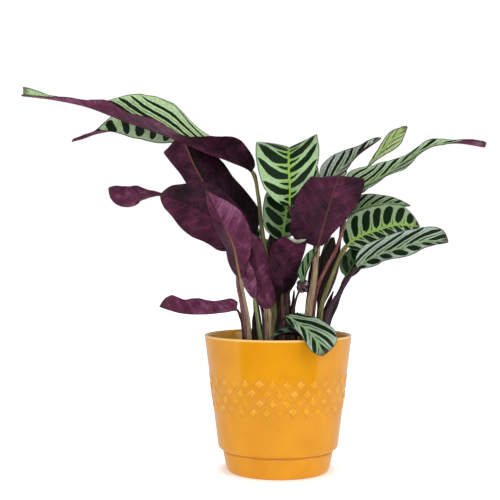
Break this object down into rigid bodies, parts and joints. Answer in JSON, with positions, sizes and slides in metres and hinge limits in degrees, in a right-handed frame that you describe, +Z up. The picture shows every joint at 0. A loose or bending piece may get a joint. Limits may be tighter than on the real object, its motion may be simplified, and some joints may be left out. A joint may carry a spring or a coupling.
{
  "type": "potted prayer plant",
  "caption": "Potted fishbone prayer plant: long striped oval leaves, green above and purple below, on thin upright stalks in a tapered glazed pot with an embossed band.",
  "frame": {"origin": "centre of the pot's underside, on the surface the pot stands on", "axes": "+Z up along the pot's axis, -Y toward the front that the picture shows, +X to the right seen from the front"},
  "size_m": [0.4518, 0.1998, 0.3756],
  "materials": {
    "glaze": "glossy orange-yellow glaze",
    "compost": "rough potting compost",
    "leaf_green": "satin leaf, striped light and dark green",
    "leaf_purple": "satin purple leaf underside",
    "stalk_olive": "satin green and beige stalk",
    "stalk_brown": "satin brown and purple stalk"
  },
  "bodies": {
    "root": {"pot": "glaze", "soil": "compost", "leaf_high_left": "leaf_purple", "stalk_high_left": "stalk_olive", "leaf_second_left": "leaf_green", "stalk_second_left": "stalk_brown", "leaf_dark_back_left": "leaf_purple", "stalk_dark_back_left": "stalk_brown", "leaf_broad_left": "leaf_purple", "stalk_broad_left": "stalk_brown", "leaf_far_left_tip": "leaf_purple", "stalk_far_left_tip": "stalk_brown", "leaf_front_mauve": "leaf_purple", "stalk_front_mauve": "stalk_olive", "leaf_mauve_strip": "leaf_purple", "stalk_mauve_strip": "stalk_olive", "leaf_magenta_left": "leaf_purple", "stalk_magenta_left": "stalk_olive", "leaf_low_left": "leaf_purple", "stalk_low_left": "stalk_brown", "leaf_centre_face": "leaf_green", "stalk_centre_face": "stalk_brown", "leaf_centre_low": "leaf_green", "stalk_centre_low": "stalk_brown", "leaf_upright_purple": "leaf_purple", "stalk_upright_purple": "stalk_olive", "leaf_curl_top_right": "leaf_green", "stalk_curl_top_right": "stalk_brown", "leaf_spear_right": "leaf_green", "stalk_spear_right": "stalk_brown", "leaf_long_right": "leaf_green", "stalk_long_right": "stalk_brown", "leaf_broad_right": "leaf_green", "stalk_broad_right": "stalk_olive", "leaf_narrow_behind_right": "leaf_green", "stalk_narrow_behind_right": "stalk_brown", "leaf_low_right": "leaf_green", "stalk_low_right": "stalk_brown", "leaf_dark_behind_right": "leaf_green", "stalk_dark_behind_right": "stalk_brown", "leaf_centre_purple": "leaf_purple", "stalk_centre_purple": "stalk_brown", "leaf_young_centre": "leaf_green", "stalk_young_centre": "stalk_brown", "leaf_rim_drape": "leaf_green", "stalk_rim_drape": "stalk_brown", "leaf_low_front_soil": "leaf_green", "stalk_low_front_soil": "stalk_brown", "leaf_back_centre": "leaf_green", "stalk_back_centre": "stalk_olive", "leaf_back_right": "leaf_green", "stalk_back_right": "stalk_olive", "leaf_back_left": "leaf_green", "stalk_back_left": "stalk_olive", "leaf_back_low_right": "leaf_green", "stalk_back_low_right": "stalk_brown", "leaf_back_low_left": "leaf_green", "stalk_back_low_left": "stalk_brown", "leaf_back_middle": "leaf_green", "stalk_back_middle": "stalk_brown"}
  },
  "joints": []
}
